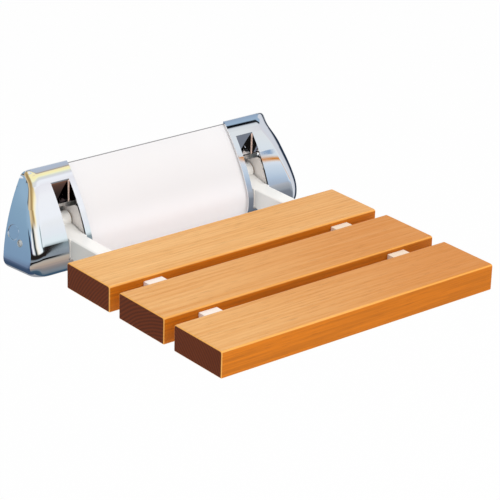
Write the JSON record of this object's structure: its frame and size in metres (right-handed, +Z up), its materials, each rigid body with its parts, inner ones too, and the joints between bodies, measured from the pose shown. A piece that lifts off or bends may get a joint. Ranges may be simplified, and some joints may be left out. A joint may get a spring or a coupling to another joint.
{
  "type": "fold down wall seat",
  "caption": "Wall seat that folds up: slatted wooden seat on white arms, hinged in a rounded wall housing with a white cover and chromed end caps.",
  "frame": {"origin": "on the wall behind the seat, midway between the arms, at the height of the hinge axis", "axes": "+Y into the wall, so the seat reaches out along -Y; +X along the hinge axis; +Z up"},
  "size_m": [0.3358, 0.3252, 0.096],
  "materials": {
    "slat_wood": "satin",
    "cover_white": "satin",
    "arm_white": "satin",
    "bracket_casting": "matte",
    "cap_chrome": "polished",
    "plate_steel": "satin",
    "fastener_steel": "satin",
    "friction_washer": "matte",
    "bush_plastic": "matte",
    "pad_rubber": "matte"
  },
  "bodies": {
    "housing": {"wall_plate": "plate_steel", "centre_cover": "cover_white", "left_hinge_bracket": "bracket_casting", "left_bracket_rivets": "fastener_steel", "left_pivot_pin": "fastener_steel", "left_pin_clip": "fastener_steel", "left_pivot_washers": "friction_washer", "left_stop_pad": "pad_rubber", "left_end_cap": "cap_chrome", "left_pivot_plug": "cap_chrome", "left_end_cap_screw": "fastener_steel", "right_hinge_bracket": "bracket_casting", "right_bracket_rivets": "fastener_steel", "right_pivot_pin": "fastener_steel", "right_pin_clip": "fastener_steel", "right_pivot_washers": "friction_washer", "right_stop_pad": "pad_rubber", "right_end_cap": "cap_chrome", "right_pivot_plug": "cap_chrome", "right_end_cap_screw": "fastener_steel"},
    "seat": {"rear_slat": "slat_wood", "rear_slat_screws": "fastener_steel", "middle_slat": "slat_wood", "middle_slat_screws": "fastener_steel", "front_slat": "slat_wood", "front_slat_screws": "fastener_steel", "left_arm_bushes": "bush_plastic", "left_arm": "arm_white", "right_arm_bushes": "bush_plastic", "right_arm": "arm_white"}
  },
  "joints": [
    {"name": "seat_fold", "type": "hinge", "parent": "housing", "child": "seat", "pos_m": [0, -0.0105, 0], "axis": [-1, 0, 0], "range_deg": [0, 90]}
  ]
}
